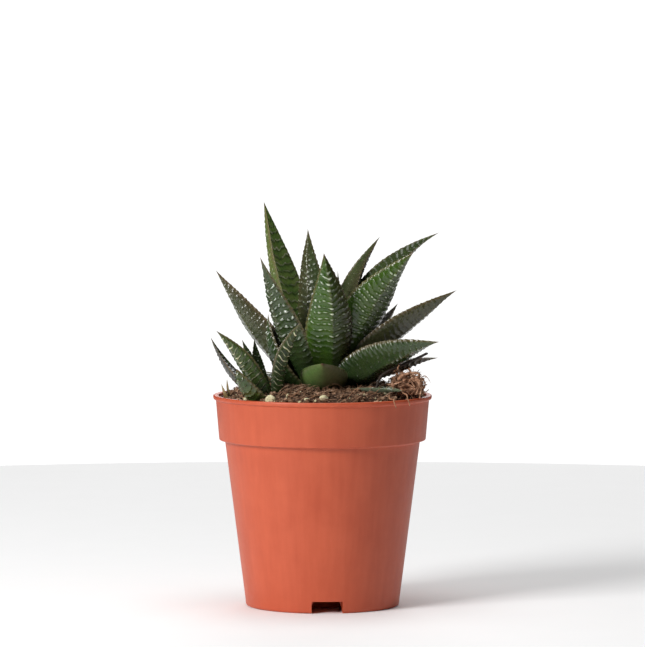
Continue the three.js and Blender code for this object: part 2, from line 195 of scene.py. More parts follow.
def note(piece, name, values):
    """Keeps one number for each point of the mesh, for its material to read."""
    layer = piece.data.attributes.new(name, "FLOAT", "POINT")
    layer.data.foreach_set("value", np.asarray(values, dtype=np.float32))


def settle(piece, material, slot, *nodes):
    """Gives a finished piece its material, its body, and the nodes that it stands for."""
    piece.data.materials.clear()
    piece.data.materials.append(material)
    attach(piece, "root")
    if nodes:
        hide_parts(*nodes)


def chance(a, b, seed):
    """A steady pseudo-random share for each pair of whole numbers."""
    return np.mod(np.sin(a * 127.1 + b * 311.7 + seed * 74.7) * 43758.5453, 1.0)


def smooth(low, high, values):
    """An even rise from 0 at low to 1 at high."""
    share = np.clip((np.asarray(values) - low) / (high - low), 0, 1)
    return share * share * (3 - 2 * share)


def peat_height(x, y):
    """Height of the peat mound above the pot's foot."""
    share = np.minimum(np.hypot(x, y) / MOUTH, 1)
    dome = CROWN + (SHOULDER - CROWN) * np.minimum(share / 0.75, 1)
    fall = smooth(0.72, 1, share)
    lumps = 0.35 * np.sin(0.55 * x + 1) * np.sin(0.5 * y) * (1 - fall)
    return POT_TOP + dome + (SETTLED - dome) * fall + lumps


# ---------------------------------------------------------------- node work


def linear(hexcolour):
    """An sRGB hex colour as linear red, green, blue and alpha."""
    channels = [int(hexcolour[i:i + 2], 16) / 255 for i in (1, 3, 5)]
    return tuple(c / 12.92 if c <= 0.04045 else ((c + 0.055) / 1.055) ** 2.4
                 for c in channels) + (1.0,)


def add(tree, kind, settings=(), **links):
    """Adds a node: settings on the node by name, and a value or another output on each input."""
    made = tree.nodes.new(kind)
    for key, value in dict(settings).items():
        setattr(made, key, value)
    for key, value in links.items():
        socket = made.inputs[int(key[1:]) if key[1:].isdigit() else key.replace("_", " ")]
        if isinstance(value, bpy.types.NodeSocket):
            tree.links.new(value, socket)
        else:
            socket.default_value = value
    return made


def new_finish(name):
    """An empty material with its tree, its shader, and the place on the piece."""
    material = bpy.data.materials.new(name)
    material.use_nodes = True
    tree = material.node_tree
    tree.nodes.clear()
    shader = add(tree, "ShaderNodeBsdfPrincipled")
    add(tree, "ShaderNodeOutputMaterial", Surface=shader.outputs["BSDF"])
    place = add(tree, "ShaderNodeTexCoord").outputs["Object"]
    return material, tree, shader, place


# a skin at least this rough has lost most of its wax
DULL_SKIN = 0.4


def leaf_skin(name, green, deep, brown, crest, gloss=0.22, crest_share=0.9):
    """Waxy skin of a succulent leaf. It is thin glossy cuticle over watery green flesh, so it
    has sharp small highlights. Tubercles are pale because they hold no green, and a painted
    highlight whitens them further. Margins and tips dry to brown, and the sun turns the
    flesh olive to brown. Painted shade darkens the flesh towards the base and browns one
    side of some leaves more."""
    material, tree, shader, place = new_finish(name)
    pale_and_painted_highlight, sun, edge, dry, painted_base_shade = (
        add(tree, "ShaderNodeAttribute", {"attribute_name": kind}).outputs["Fac"]
        for kind in ("pale_and_painted_highlight", "sun", "edge", "dry", "painted_base_shade"))
    # cloudy flesh: patches about 6 mm across
    clouds = add(tree, "ShaderNodeTexNoise", Vector=place, Scale=160.0, Detail=4.0,
                 Roughness=0.6).outputs["Fac"]
    flesh_share = add(tree, "ShaderNodeMapRange", Value=clouds, From_Min=0.35, From_Max=0.68)
    flesh = add(tree, "ShaderNodeMix", {"data_type": "RGBA"}, _0=flesh_share.outputs[0],
                _6=linear(deep), _7=linear(green))
    # the sun's brown, with the painted shade on one side that rides on it, is uneven in the same
    # patches
    patchy = add(tree, "ShaderNodeMath", {"operation": "MULTIPLY_ADD"}, _0=clouds, _1=0.9,
                 _2=-0.42)
    browned = add(tree, "ShaderNodeMath", {"operation": "ADD", "use_clamp": True},
                  _0=sun, _1=patchy.outputs[0])
    sunned = add(tree, "ShaderNodeMix", {"data_type": "RGBA"}, _0=browned.outputs[0],
                 _6=flesh.outputs[2], _7=linear(brown))
    # fine dark specks, 0.6 mm apart
    specks = add(tree, "ShaderNodeTexNoise", Vector=place, Scale=1600.0, Detail=3.0,
                 Roughness=0.7).outputs["Fac"]
    speck_share = add(tree, "ShaderNodeMapRange", Value=specks, From_Min=0.52, From_Max=0.75,
                      To_Max=0.35)
    specked = add(tree, "ShaderNodeMix", {"data_type": "RGBA"}, _0=speck_share.outputs[0],
                  _6=sunned.outputs[2], _7=linear("#20281a"))
    # a dry brown line along the margins and the keel
    rimmed_share = add(tree, "ShaderNodeMath", {"operation": "MULTIPLY"}, _0=edge, _1=0.6)
    rimmed = add(tree, "ShaderNodeMix", {"data_type": "RGBA"}, _0=rimmed_share.outputs[0],
                 _6=specked.outputs[2], _7=linear("#6e5c44"))
    # pearly tubercles: their own pale colour, whitened further as a painted highlight
    pale_share = add(tree, "ShaderNodeMapRange", Value=pale_and_painted_highlight, From_Min=0.35, From_Max=0.95,
                     To_Max=crest_share)
    pale = add(tree, "ShaderNodeMix", {"data_type": "RGBA"}, _0=pale_share.outputs[0],
               _6=rimmed.outputs[2], _7=linear(crest))
    # darker towards the base: painted shade where leaves shade each other, and partly the flesh's
    # own deeper green there; and dead brown at the tip
    shaded_share = add(tree, "ShaderNodeMath", {"operation": "MULTIPLY"}, _0=painted_base_shade, _1=0.45)
    shaded = add(tree, "ShaderNodeMix", {"data_type": "RGBA"}, _0=shaded_share.outputs[0],
                 _6=pale.outputs[2], _7=linear("#16200f"))
    tipped = add(tree, "ShaderNodeMix", {"data_type": "RGBA"}, _0=dry, _6=shaded.outputs[2],
                 _7=linear("#5a3d2c"))
    tree.links.new(tipped.outputs[2], shader.inputs["Base Color"])
    # thin wax cuticle, less even where it is specked
    dull = add(tree, "ShaderNodeMapRange", Value=specks, From_Min=0.3, From_Max=0.7,
               To_Min=gloss - 0.06, To_Max=gloss + 0.1)
    tree.links.new(dull.outputs[0], shader.inputs["Roughness"])
    skin = add(tree, "ShaderNodeBump", Strength=0.45, Distance=0.00016, Height=specks)
    tree.links.new(skin.outputs[0], shader.inputs["Normal"])
    shader.inputs["IOR"].default_value = 1.45
    shader.inputs["Coat Weight"].default_value = 0.35 if gloss < DULL_SKIN else 0.1
    shader.inputs["Coat Roughness"].default_value = 0.1
    shader.inputs["Subsurface Weight"].default_value = 0.08
    shader.inputs["Subsurface Radius"].default_value = (0.4, 1.0, 0.2)
    shader.inputs["Subsurface Scale"].default_value = 0.0012
    return material


def moulded_polypropylene():
    """Injection-moulded polypropylene, pigmented terracotta. The mould's fine matt texture
    gives a soft broad sheen. Flow marks and handling leave faint streaks and pale scuffs."""
    material, tree, shader, place = new_finish("moulded_terracotta_polypropylene")
    # flow marks run up the wall: 3 mm wide, 50 mm long
    stretched = add(tree, "ShaderNodeMapping", Vector=place, Scale=(1.0, 1.0, 0.06))
    flow = add(tree, "ShaderNodeTexNoise", Vector=stretched.outputs[0], Scale=320.0,
               Detail=3.0, Roughness=0.55).outputs["Fac"]
    # uneven pigment: clouds 18 mm across
    clouds = add(tree, "ShaderNodeTexNoise", Vector=place, Scale=55.0, Detail=5.0,
                 Roughness=0.6).outputs["Fac"]
    both = add(tree, "ShaderNodeMix", {"data_type": "FLOAT"}, _0=0.45, _2=clouds, _3=flow)
    shade = add(tree, "ShaderNodeMapRange", Value=both.outputs[0], From_Min=0.3, From_Max=0.7)
    plastic = add(tree, "ShaderNodeMix", {"data_type": "RGBA"}, _0=shade.outputs[0],
                  _6=linear("#b64b2a"), _7=linear("#c75a38"))
    # pale scuffs, 2.4 mm apart
    scuffs = add(tree, "ShaderNodeTexNoise", Vector=place, Scale=420.0, Detail=8.0,
                 Roughness=0.75).outputs["Fac"]
    scuff_share = add(tree, "ShaderNodeMapRange", Value=scuffs, From_Min=0.64, From_Max=0.76,
                      To_Max=0.35)
    worn = add(tree, "ShaderNodeMix", {"data_type": "RGBA"}, _0=scuff_share.outputs[0],
               _6=plastic.outputs[2], _7=linear("#d07a5c"))
    tree.links.new(worn.outputs[2], shader.inputs["Base Color"])
    sheen = add(tree, "ShaderNodeMapRange", Value=scuffs, From_Min=0.3, From_Max=0.7,
                To_Min=0.40, To_Max=0.50)
    tree.links.new(sheen.outputs[0], shader.inputs["Roughness"])
    # spark-eroded mould texture, 0.25 mm grain
    grain = add(tree, "ShaderNodeTexNoise", Vector=place, Scale=4000.0, Detail=2.0)
    fine = add(tree, "ShaderNodeBump", Strength=0.12, Distance=0.00005,
               Height=grain.outputs["Fac"])
    broad = add(tree, "ShaderNodeBump", Strength=0.25, Distance=0.00025, Height=clouds,
                Normal=fine.outputs[0])
    tree.links.new(broad.outputs[0], shader.inputs["Normal"])
    shader.inputs["IOR"].default_value = 1.49
    return material


def earthy(name, dark, middle, light, scale, bump, roughness=0.9):
    """Broken natural matter: peat, bark, roots, perlite. It is dull and has no clean surface,
    and goes from dark hollows to a pale worn or dried outside. scale is its grains in a
    metre, so 900 is a grain of 1.1 mm, and bump is their height in metres."""
    material, tree, shader, place = new_finish(name)
    grains = add(tree, "ShaderNodeTexNoise", Vector=place, Scale=scale, Detail=9.0,
                 Roughness=0.72).outputs["Fac"]
    low = add(tree, "ShaderNodeMapRange", Value=grains, From_Min=0.34, From_Max=0.54)
    first = add(tree, "ShaderNodeMix", {"data_type": "RGBA"}, _0=low.outputs[0],
                _6=linear(dark), _7=linear(middle))
    high = add(tree, "ShaderNodeMapRange", Value=grains, From_Min=0.54, From_Max=0.74)
    second = add(tree, "ShaderNodeMix", {"data_type": "RGBA"}, _0=high.outputs[0],
                 _6=first.outputs[2], _7=linear(light))
    tree.links.new(second.outputs[2], shader.inputs["Base Color"])
    relief = add(tree, "ShaderNodeBump", Strength=0.8, Distance=bump, Height=grains)
    tree.links.new(relief.outputs[0], shader.inputs["Normal"])
    shader.inputs["Roughness"].default_value = roughness
    shader.inputs["Specular IOR Level"].default_value = 0.25
    return material


# Skins of one plant: green where it is shaded, olive and brown where the sun has reached it,
# nearly black on old leaves, yellow-green on banded and young ones, and duller where blunt
# or dry leaves have lost their wax.
SKINS = {
    "fresh": leaf_skin("sunlit_green_leaf_skin", "#45661c", "#304c14", "#3f3824", "#dbe4cb"),
    "deep": leaf_skin("deep_green_leaf_skin", "#3b5329", "#293c1d", "#3f3828", "#dde5d6"),
    "olive": leaf_skin("olive_leaf_skin", "#4b5a36", "#394629", "#473e2b", "#cdd4be"),
    "banded": leaf_skin("banded_leaf_skin", "#77923f", "#52742f", "#5d5833", "#e2e4bf",
                        gloss=0.42, crest_share=0.9),
    "dark": leaf_skin("sunburnt_leaf_skin", "#363b2b", "#24271e", "#37302a", "#8f8f7e",
                      gloss=0.34, crest_share=0.5),
    "young": leaf_skin("young_banded_leaf_skin", "#3d5220", "#283a18", "#4a4522", "#ecebc2",
                       crest_share=1.0),
    "blunt": leaf_skin("smooth_blunt_leaf_skin", "#5c783c", "#496232", "#6d694a", "#a9b48e",
                       gloss=0.42, crest_share=0.3),
    "grey": leaf_skin("grey_green_leaf_skin", "#869880", "#6b7f65", "#75715a", "#c3cdbd"),
    "pup": leaf_skin("young_shoot_skin", "#9a9460", "#7f7748", "#8a6c4b", "#cfc49c",
                     gloss=0.45),
}
POT_PLASTIC = moulded_polypropylene()
# milled peat, near black where damp, with tan fibre dried on top, and its crumbs
PEAT = earthy("damp_fibrous_peat", "#120b07", "#543c2d", "#bb987c", 900.0, 0.0007)
CRUMB = earthy("peat_crumb", "#180f0a", "#75563f", "#e4c7aa", 700.0, 0.0004)
# shredded bark and coarse fibre, sun-dried to straw
BARK = earthy("dry_fibre_and_bark", "#573927", "#b08b70", "#f0dac2", 500.0, 0.0003)
# dead roots, dried orange-brown, and thin live ones that are still smooth
ROOT = earthy("dried_root_tangle", "#44291c", "#b98a6c", "#f5d9bd", 800.0, 0.0004, 0.8)
PALE_ROOT = earthy("live_rootlet", "#7a5138", "#ac7f60", "#d3b295", 1500.0, 0.0002, 0.6)
# volcanic glass puffed by heat: chalky and pitted, and tinted cream by the wet peat
PERLITE = earthy("puffed_perlite", "#b3aa7e", "#e2dab2", "#f7f1da", 1100.0, 0.0005, 0.75)
# a dead leaf, shrunk to a brown-black strap, and a stem ringed with leaf scars
HUSK = earthy("withered_leaf_skin", "#1e1a16", "#3a302a", "#5f5044", 800.0, 0.0004, 0.7)
STEM = earthy("leaf_scarred_stem", "#3c4424", "#5c6b33", "#8a8a56", 500.0, 0.0004, 0.6)

# ---------------------------------------------------------------- leaves


# Rows of tubercles and marginal teeth: the space between them, and how far a row's middle
# runs ahead of its ends. Then, for each kind of row, the space between its tubercles, how
# much of each row is one joined ridge, and how white it is.
ROW_SPACE = 2.3
ROW_ARC = 1.1
TOOTH_PACE = 1.9
ROWS = {"dots": (1.45, 0.1, 1.0), "dashes": (2.0, 0.16, 1.0), "ribs": (3.0, 0.7, 0.35)}


def outline(share, sharp):
    """Half width along a leaf, as a share of the greatest."""
    widest = 0.4
    low = 1 - 0.15 * (np.maximum(widest - share, 0) / widest) ** 2
    left = np.clip((1 - share) / (1 - widest), 0, 1)
    return np.where(share <= widest, low, np.sin(math.pi / 2 * left) ** sharp)


def turn_about(vectors, axes, angle):
    """Each vector turned about its own axis, which is at right angles to it."""
    return vectors * math.cos(angle) + np.cross(axes, vectors) * math.sin(angle)


def teeth(beat, sharp):
    """One hump for each whole beat."""
    return (0.5 + 0.5 * np.cos(2 * math.pi * beat)) ** sharp


def uneven(beat, side, seed):
    """A size for each tooth, none less than about half."""
    return 0.55 + 0.45 * chance(np.floor(beat + 0.5), side, seed)


def rowed_tubercles(far, across, half, spacing, pitch, arc, joined, seed):
    """Rows of pearly tubercles across a leaf: far and across in millimetres."""
    wobble = 0.14 * np.sin(0.9 * across + seed) + 0.1 * np.sin(0.23 * far + 2 * seed)
    rows = (far - arc * (across / half) ** 2) / spacing + wobble
    row = np.floor(rows)
    beads = across / pitch + chance(row, 1.0, seed) + 0.2 * np.sin(0.7 * across + row)
    bead = np.floor(beads)
    size = chance(row, bead, seed + 3)
    lift = (rows - row) - 0.5 + 0.22 * (chance(bead, row, seed + 7) - 0.5)
    swell = 0.3 + 0.7 * size
    wide = 0.26 + 0.18 * size
    bump = swell * np.exp(-(((beads - bead) - 0.5) / wide) ** 2)
    return np.exp(-(lift / 0.17) ** 2) * (joined + (1 - joined) * bump)


def stepped_bands(far, across, half, spacing, arc, seed):
    """Broad bands that step up at their lower edge and fall away to the tip, and the pale
    crest along each edge, partly its own colour and partly a painted highlight."""
    rows = (far - arc * (across / half) ** 2) / spacing + 0.12 * np.sin(0.31 * far + seed)
    row = np.floor(rows)
    broad = np.sin(across * (0.7 + chance(row, 2.0, seed)) + 6 * chance(row, 5.0, seed))
    narrow = np.sin(across * 2.3 + 6 * chance(row, 9.0, seed))
    rows = rows + 0.13 * (broad + 0.4 * narrow)
    part = rows - row
    height = smooth(0.0, 0.2, part) * (1 - smooth(0.3, 1.0, part))
    beads = across / 2.1 + chance(row, 3.0, seed)
    size = chance(row, np.floor(beads), seed + 3)
    hump = np.abs(np.sin(math.pi * beads))
    crest = np.exp(-((part - 0.2) / 0.14) ** 2) * (0.45 + 0.55 * size)
    return height * (0.7 + 0.3 * hump), crest


def combed_edge(far, across, half, seed):
    """Bars that run in from the margins like the teeth of a comb, with dots between them."""
    beat = far / TOOTH_PACE
    bars = teeth(beat, 1.5)
    ridge = smooth(0.5, 0.98, np.abs(across) / half) * uneven(beat, 1.0, seed)
    dots = rowed_tubercles(far, across, half, ROW_SPACE, 1.6, ROW_ARC, 0.05, seed)
    return (np.maximum(bars * ridge, 0.7 * dots * (1 - ridge)),
            np.maximum(0.7 * bars * ridge, 0.6 * dots * (1 - ridge)))


def face_pattern(kind, far, across, half, share, seed, small, spacing):
    """Height and paleness of the markings on one face of a leaf."""
    pace = 0.75 if small else 1.0
    if kind == "bands":
        return stepped_bands(far, across, half, 2.2 if small else 3.1, 1.8, seed)
    if kind == "plain":
        low = 0.15 * rowed_tubercles(far, across, half, 2.4, 1.6, 0.5, 0.1, seed)
        return low, 0.4 * low
    if kind == "comb":
        return combed_edge(far, across, half, seed)
    pitch, joined, whiteness = ROWS[kind]
    height = rowed_tubercles(far, across, half, spacing * pace, pitch * pace, ROW_ARC, joined,
                             seed)
    fade = 0.15 + 0.85 * smooth(0.12, 0.48, share)
    return height * fade, height * fade * whiteness


# a leaf narrower than this belongs to a young plant, and its markings are smaller too
SMALL_LEAF = 9


def leaf(name, row, stem, seed, around, rings, slot):
    """A thick tapering leaf. A ball is drawn out along the leaf's bowed line, keeled below
    and hollow above, and its skin is raised into rows of tubercles with toothed margins. No
    run of edit-mode tools gives such rows, so each point is placed by rule."""
    rest_hands()
    bpy.ops.mesh.primitive_uv_sphere_add(segments=around, ring_count=rings, radius=1)
    piece = started(name)
    ball = points_of(piece)
    share = np.arccos(np.clip(-ball[:, 2], -1, 1)) / math.pi
    angle = np.arctan2(-ball[:, 1], ball[:, 0])
    sine, cosine = np.sin(angle), np.cos(angle)

    tip = np.array(row["tip"], float) + (0, 0, POT_TOP)
    root = np.array((stem["x"], stem["y"], row["start"] + POT_TOP), float)
    away = np.array((tip[0] - root[0], tip[1] - root[1], 0.0))
    root += away / np.linalg.norm(away) * 0.8 * stem["radius"]
    chord = tip - root
    length = np.linalg.norm(chord)
    side = np.array((-chord[1], chord[0], 0.0)) / np.hypot(chord[0], chord[1])
    upper = np.cross(chord / length, side)
    middle = (root + tip) / 2
    middle += upper * 2 * row.get("bow", 0) * length + side * 2 * row.get("sway", 0) * length
    u = share[:, None]
    line = (1 - u) ** 2 * root + 2 * u * (1 - u) * middle + u ** 2 * tip
    tangent = (1 - u) * (middle - root) + u * (tip - middle)
    tangent /= np.linalg.norm(tangent, axis=1)[:, None]
    normal = upper - tangent * (tangent @ upper)[:, None]
    normal /= np.linalg.norm(normal, axis=1)[:, None]
    normal = turn_about(normal, tangent, math.radians(row.get("roll", 0)))
    sideways = np.cross(tangent, normal)

    half, thick = row["width"] / 2, row["thick"]
    keel, channel = row.get("keel", 0.4), row.get("channel", 0.15)
    swell = outline(share, row.get("sharp", 1.2))
    keeled = (1 - keel) * np.abs(sine) + keel * (1 - np.abs(cosine))
    flat = half * swell * cosine
    depth = np.where(sine < 0, -thick * swell ** 0.85 * keeled, -channel * half * swell * sine)
    closing = np.sqrt(np.clip(share / 0.03, 0, 1))
    points = line + sideways * (flat * closing)[:, None] + normal * (depth * closing)[:, None]
    points -= tangent * (0.4 * half * (1 - closing))[:, None]

    # outward direction on the section, and distance over the skin from its middle line
    fan = np.linspace(-math.pi, math.pi, 721)  # every half degree
    fan_flat = half * np.cos(fan)
    fan_keel = (1 - keel) * np.abs(np.sin(fan)) + keel * (1 - np.abs(np.cos(fan)))
    fan_deep = np.where(fan < 0, -thick * fan_keel, -channel * half * np.sin(fan))
    out_flat, out_deep = np.gradient(fan_deep, fan), -np.gradient(fan_flat, fan)
    size = np.hypot(out_flat, out_deep)
    out_flat = np.interp(angle, fan, out_flat / size)
    out_deep = np.interp(angle, fan, out_deep / size)
    outward = sideways * out_flat[:, None] + normal * out_deep[:, None]
    run = np.concatenate(([0], np.cumsum(np.hypot(np.diff(fan_flat), np.diff(fan_deep)))))
    travelled = np.interp(angle, fan, run)
    low_middle, top_middle = np.interp((-math.pi / 2, math.pi / 2), fan, run)
    middles = np.where(sine < 0, low_middle, top_middle)
    over = (travelled - middles) * swell
    widest = half * 1.15 * swell + 0.2

    far = share * length
    under = sine < 0
    small = row["width"] < SMALL_LEAF
    place = (far, over, widest, share)
    spacing = row.get("rows", ROW_SPACE)
    low_height, low_pale = face_pattern(row["under"], *place, seed, small, spacing)
    top_height, top_pale = face_pattern(row["upper"], *place, seed + 11, small, spacing)
    height = np.where(under, low_height, top_height)
    pale = np.where(under, low_pale, top_pale)

    # markings stop short of the margin, which carries its own teeth
    from_margin = half * swell * (1 - np.abs(cosine))
    inner = smooth(0.05, 0.5, from_margin)
    relief = row.get("relief", 0.34 if small else 0.5)
    room = np.clip(2.6 * swell, 0, 1) * smooth(0.0, 0.1, share)
    points += outward * (height * inner * relief * room)[:, None]
    pace, root_width, longest = (1.5, 0.22, 0.25) if small else (TOOTH_PACE, 0.35, 0.42)
    beat = far / pace + 0.15 * np.sin(far)
    tooth = teeth(beat, 1.3) * uneven(beat, np.sign(cosine), seed)
    at_margin = np.exp(-(from_margin / root_width) ** 2)
    plain = 0.35 if "plain" in (row["upper"], row["under"]) else 1.0
    reach = longest * plain * room
    points += sideways * (np.sign(cosine) * at_margin * tooth * reach)[:, None]
    on_keel = np.where(under, np.exp(-(over / 0.5) ** 2), 0) * smooth(0.35, 0.6, share)
    on_keel *= 0.0 if row["under"] == "plain" else 1.0
    keel_tooth = teeth(far / pace + 0.5, 1.5)
    points += outward * (on_keel * keel_tooth * reach * 0.8)[:, None]
    # the flesh itself is never quite even
    swing = np.sin(0.21 * far + seed) * np.sin(0.3 * over + 2 * seed)
    points += outward * (0.22 * swing * room)[:, None]

    set_points(piece, points * MM)
    bpy.ops.object.shade_smooth()
    upper_sun, under_sun = row["sun"]
    # painted shade: more brown on the one side of the leaf that is in shade
    lean = row.get("lean", 0) * cosine
    base_fade = 0.25 * (1 - smooth(0.0, 0.35, share))
    # pale tubercles and keel teeth: their own colour, and partly a painted highlight
    whitened = pale * inner * room * row.get("pale", 1) + 0.45 * on_keel * keel_tooth
    note(piece, "pale_and_painted_highlight", np.clip(whitened, 0, 1))
    # the sun's own brown on each face, plus the painted shade of lean, less near the base
    sun_brown_and_painted_shade = np.where(under, under_sun, upper_sun) + lean - base_fade
    note(piece, "sun", np.clip(sun_brown_and_painted_shade, 0, 1))
    rim = np.clip(at_margin + 0.3 * on_keel, 0, 1) * smooth(0.1, 0.4, share)
    note(piece, "edge", rim * plain)
    note(piece, "dry", smooth(0.955, 1.0, share))
    # painted shade towards the base, partly the deeper green of the flesh there
    note(piece, "painted_base_shade", 1 - smooth(0.05, 0.5, share))
    settle(piece, SKINS[row["skin"]], slot, name)


OLD_LEAVES = (10, 18)
for count, row in enumerate(MAIN_LEAVES, 1):
    around, rings = (144, 208) if row.get("fine") else (104, 150)
    slot = "dark_leaf" if count in OLD_LEAVES else "leaf"
    leaf("leaf_%02d" % count, row, MAIN_STEM, count * 1.7, around, rings, slot)
for count, row in enumerate(OFFSET_LEAVES, 1):
    leaf("offset_leaf_%d" % count, row, OFFSET_STEM, 40 + count * 1.3, 88, 120, "offset_leaf")
for count, row in enumerate(PUP_LEAVES, 1):
    leaf("pup_leaf_%d" % count, row, PUP_BASE, 60 + count, 24, 24, "pup")
for stem_name in ("main_stem", "offset_stem"):
    stem_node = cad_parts[stem_name]
    stem_node.data.materials.clear()
    stem_node.data.materials.append(STEM)

# ---------------------------------------------------------------- pot


def rounded(corners, steps=4):
    """A profile of (radius, height, rounding) corners with each rounded corner as an arc."""
    profile = []
    for i, (r, z, rounding) in enumerate(corners):
        here = Vector((r, z))
        if rounding == 0 or i in (0, len(corners) - 1):
            profile.append((r, z))
            continue
        before = Vector(corners[i - 1][:2]) - here
        after = Vector(corners[i + 1][:2]) - here
        reach = min(rounding, before.length * 0.45, after.length * 0.45)
        start, end = here + before.normalized() * reach, here + after.normalized() * reach
        for k in range(steps + 1):
            t = k / steps
            spot = start * (1 - t) ** 2 + here * (2 * t * (1 - t)) + end * t ** 2
            profile.append((spot.x, spot.y))
    return profile


def turned_up(name, profile, segments):
    """A closed shell raised from one ring, as on a lathe: each step draws the ring out to the
    next height and radius, and both ends are drawn in to the axis."""
    rest_hands()
    first_r, first_z = profile[0]
    bpy.ops.mesh.primitive_circle_add(vertices=segments, radius=first_r * MM,
                                      location=(0, 0, first_z * MM))
    piece = started(name)
    seat(piece)
    bpy.ops.object.mode_set(mode="EDIT")
    bpy.ops.mesh.select_mode(type="VERT")
    bpy.ops.mesh.select_all(action="SELECT")
    radius, height = first_r, first_z
    for r, z in profile[1:]:
        bpy.ops.mesh.extrude_region_move(
            TRANSFORM_OT_translate={"value": (0, 0, (z - height) * MM)})
        bpy.ops.transform.resize(value=(r / radius, r / radius, 1), center_override=(0, 0, 0))
        radius, height = r, z
    bpy.ops.mesh.extrude_region_move(TRANSFORM_OT_translate={"value": (0, 0, 0)})
    bpy.ops.mesh.merge(type="CENTER")
    bpy.ops.object.mode_set(mode="OBJECT")
    spots = points_of(piece)
    radii = np.hypot(spots[:, 0], spots[:, 1])
    ring = (abs(radii - first_r * MM) < 1e-6) & (abs(spots[:, 2] - first_z * MM) < 1e-7)
    bpy.ops.object.mode_set(mode="EDIT")
    bpy.ops.mesh.select_all(action="DESELECT")
    bpy.ops.object.mode_set(mode="OBJECT")
    piece.data.vertices.foreach_set("select", ring)
    bpy.ops.object.mode_set(mode="EDIT")
    bpy.ops.mesh.extrude_region_move(TRANSFORM_OT_translate={"value": (0, 0, 0)})
    bpy.ops.mesh.merge(type="CENTER")
    bpy.ops.mesh.select_all(action="SELECT")
    bpy.ops.mesh.remove_doubles(threshold=1e-7)
    bpy.ops.mesh.normals_make_consistent(inside=False)
    bpy.ops.object.mode_set(mode="OBJECT")
    return piece


def bored(piece, cutters):
    """Cuts the joined cutters out of a piece."""
    rest_hands()
    for cutter in cutters:
        cutter.select_set(True)
    bpy.context.view_layer.objects.active = cutters[0]
    bpy.ops.object.join()
    tool = bpy.context.object
    take_up(piece)
    cut = piece.modifiers.new("cut", "BOOLEAN")
    cut.operation, cut.solver, cut.object = "DIFFERENCE", "EXACT", tool
    bpy.ops.object.modifier_apply(modifier="cut")
    bpy.data.objects.remove(tool, do_unlink=True)


# The shell from its central pad outwards: pad, raised floor, foot ring, tapered wall, stacking
# collar, lip, and back down inside. Each corner is a radius, a height and its rounding.
SHELL = [
    (11.0, 0, 0), (13.0, 4.6, 0.5), (24.8, 4.6, 0.5), (25.4, 0, 0.3), (FOOT, 0, 2.0),
    (30.0, 2.6, 0), (37.85, 64.0, 0.25), (38.35, 64.6, 0.3), (40.1, 64.6, 0.35),
    (41.4, 80.1, 0.2), (42.35, 80.5, 0.35), (42.5, 82.0, 0.55), (40.4, 82.0, 0.45),
    (39.1, 65.6, 0.6), (36.9, 64.6, 0.6), (29.3, 5.8, 1.0), (12.0, 5.8, 0.6),
    (10.0, 1.2, 0.4), (6.0, 1.2, 0),
]
# Three drainage notches cross the foot ring, and six holes go through the raised floor.
NOTCH_SIZE, NOTCH_ROUNDING, FIRST_NOTCH = (10.8, 12.0, 9.4), 0.6, -86.5
HOLE_RADIUS, HOLE_RING, FLOOR_MIDDLE = 2.2, 18.5, 5.2

pot = turned_up("pot", rounded(SHELL), 256)
cutters = []
for turn in range(3):
    bearing = math.radians(FIRST_NOTCH + 120 * turn)
    rest_hands()
    bpy.ops.mesh.primitive_cube_add(size=1)
    mouth = started("notch_cutter_%d" % turn)
    bpy.ops.object.mode_set(mode="EDIT")
    bpy.ops.transform.resize(value=[side * MM for side in NOTCH_SIZE])
    bpy.ops.mesh.bevel(offset=NOTCH_ROUNDING * MM, segments=3)
    bpy.ops.object.mode_set(mode="OBJECT")
    mouth.data.transform(
        Matrix.Rotation(bearing, 4, "Z") @ Matrix.Translation((FOOT * MM, 0, 0)))
    cutters.append(mouth)
for turn in range(6):
    bearing = math.radians(60 * (turn + 0.5))
    rest_hands()
    bpy.ops.mesh.primitive_cylinder_add(vertices=32, radius=HOLE_RADIUS * MM, depth=6 * MM)
    hole = started("drain_cutter_%d" % turn)
    hole.data.transform(Matrix.Translation(
        (HOLE_RING * MM * math.cos(bearing), HOLE_RING * MM * math.sin(bearing),
         FLOOR_MIDDLE * MM)))
    cutters.append(hole)
bored(pot, cutters)
bpy.ops.object.shade_smooth_by_angle(angle=math.radians(32))
settle(pot, POT_PLASTIC, "pot", "pot")

# ---------------------------------------------------------------- peat

# The peat fills the pot up to a flat top of close rings, which is then heaped and roughened.
PEAT_RADIUS, PEAT_TOP, PEAT_RINGS = 39.8, 80.0, 96
FILL = [(6.0, 1.5, 0), (9.7, 1.5, 0), (11.7, 6.1, 0), (29.0, 6.1, 0), (36.6, 64.6, 0),
        (38.8, 65.9, 0), (PEAT_RADIUS, 79.0, 0)]
FILL += [(PEAT_RADIUS * ring / PEAT_RINGS, PEAT_TOP, 0) for ring in range(PEAT_RINGS, 3, -1)]
peat = turned_up("soil", rounded(FILL), 216)
heap = points_of(peat) / MM
on_top = heap[:, 2] > PEAT_TOP - 0.1
rough = np.zeros(len(heap))
for i in np.nonzero(on_top)[0]:
    x, y, _ = heap[i]
    spot = Vector((x, y, 0))
    coarse = noise.fractal(spot * 0.33, 0.8, 2.1, 5)
    fine = noise.turbulence(spot * 1.3 + Vector((7, 3, 1)), 3, False)
    rough[i] = 0.75 * coarse + 0.55 * fine - 0.3
# less rough against the wall
inner = 1 - smooth(0.93, 1.0, np.hypot(heap[:, 0], heap[:, 1]) / PEAT_RADIUS)
heap[on_top, 2] = (peat_height(heap[:, 0], heap[:, 1]) + rough * (0.25 + 0.75 * inner))[on_top]
set_points(peat, heap * MM)
take_up(peat)
bpy.ops.object.shade_smooth()
settle(peat, PEAT, "peat", "soil")


